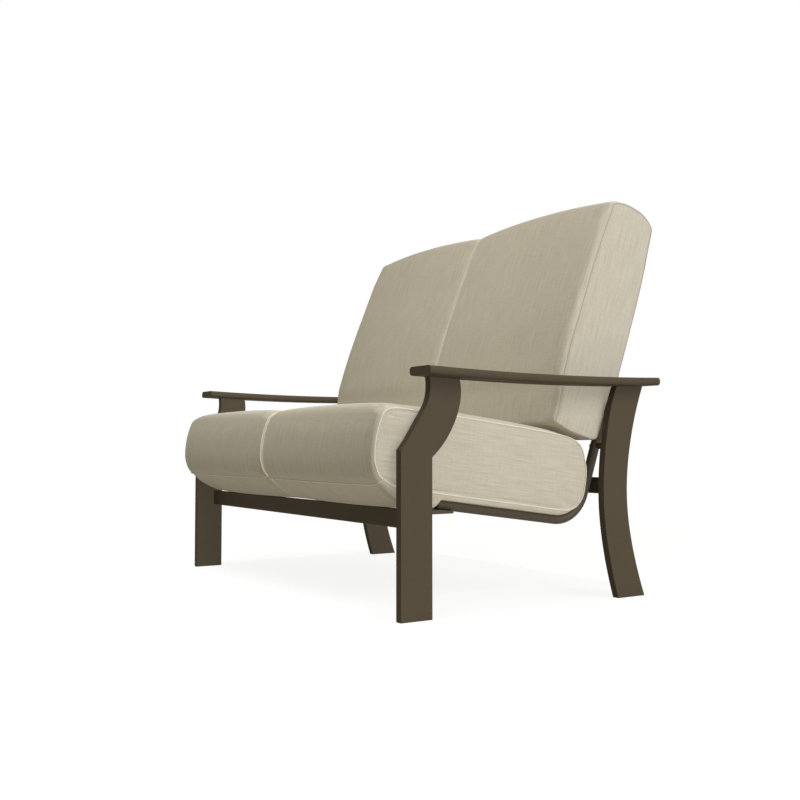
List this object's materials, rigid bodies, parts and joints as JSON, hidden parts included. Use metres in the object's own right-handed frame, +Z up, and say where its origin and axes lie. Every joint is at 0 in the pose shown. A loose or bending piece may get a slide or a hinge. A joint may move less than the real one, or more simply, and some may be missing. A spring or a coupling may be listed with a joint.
{
  "type": "outdoor loveseat",
  "caption": "Two-seat patio loveseat with dark board legs and arms, a bent tube and slat frame, and loose box cushions on seat and back.",
  "frame": {"origin": "on the floor, under the middle of the overall box", "axes": "+Z up, -Y the way a sitter faces, +X to the sitter's left, across both seats"},
  "size_m": [1.334, 0.9265, 1.0523],
  "materials": {
    "board": "matte, fine grain",
    "frame_metal": "powder coat",
    "steel": "brushed",
    "plug": "matte",
    "cushion": "woven, slubbed"
  },
  "bodies": {
    "frame": {"angle_screws": "steel", "apron": "board", "arm_left": "board", "arm_right": "board", "back_post_left": "frame_metal", "back_post_right": "frame_metal", "back_slat_1": "frame_metal", "back_slat_2": "frame_metal", "back_slat_3": "frame_metal", "back_slat_4": "frame_metal", "back_slat_5": "frame_metal", "back_slat_6": "frame_metal", "centre_rail": "frame_metal", "dowels": "steel", "front_tube": "frame_metal", "leg_front_left": "board", "leg_front_right": "board", "leg_rear_left": "board", "leg_rear_right": "board", "lumbar_tube_left": "frame_metal", "lumbar_tube_right": "frame_metal", "rail_bolts": "steel", "rail_shoe_left": "frame_metal", "rail_shoe_right": "frame_metal", "rear_tube_left": "frame_metal", "rear_tube_right": "frame_metal", "seat_slat_1": "frame_metal", "seat_slat_2": "frame_metal", "seat_slat_3": "frame_metal", "seat_slat_4": "frame_metal", "seat_slat_5": "frame_metal", "seat_slat_6": "frame_metal", "shoe_screws": "steel", "side_rail_left": "frame_metal", "side_rail_right": "frame_metal", "spacers": "frame_metal", "stretcher": "board", "stretcher_angle_left": "frame_metal", "stretcher_angle_right": "frame_metal", "top_tube": "frame_metal", "tube_plugs": "plug"},
    "seat_left": {"seat_cushion_left": "cushion"},
    "seat_right": {"seat_cushion_right": "cushion"},
    "back_left": {"back_cushion_left": "cushion"},
    "back_right": {"back_cushion_right": "cushion"}
  },
  "joints": [
    {"name": "seat_left_lift", "type": "slide", "parent": "frame", "child": "seat_left", "axis": [0, -0.9907, 0.1357], "range_m": [0, 0.65]},
    {"name": "seat_right_lift", "type": "slide", "parent": "frame", "child": "seat_right", "axis": [0, -0.9907, 0.1357], "range_m": [0, 0.65]},
    {"name": "back_left_lift", "type": "slide", "parent": "frame", "child": "back_left", "axis": [0, 0.3338, 0.9426], "range_m": [0, 0.65]},
    {"name": "back_right_lift", "type": "slide", "parent": "frame", "child": "back_right", "axis": [0, 0.3338, 0.9426], "range_m": [0, 0.65]}
  ]
}
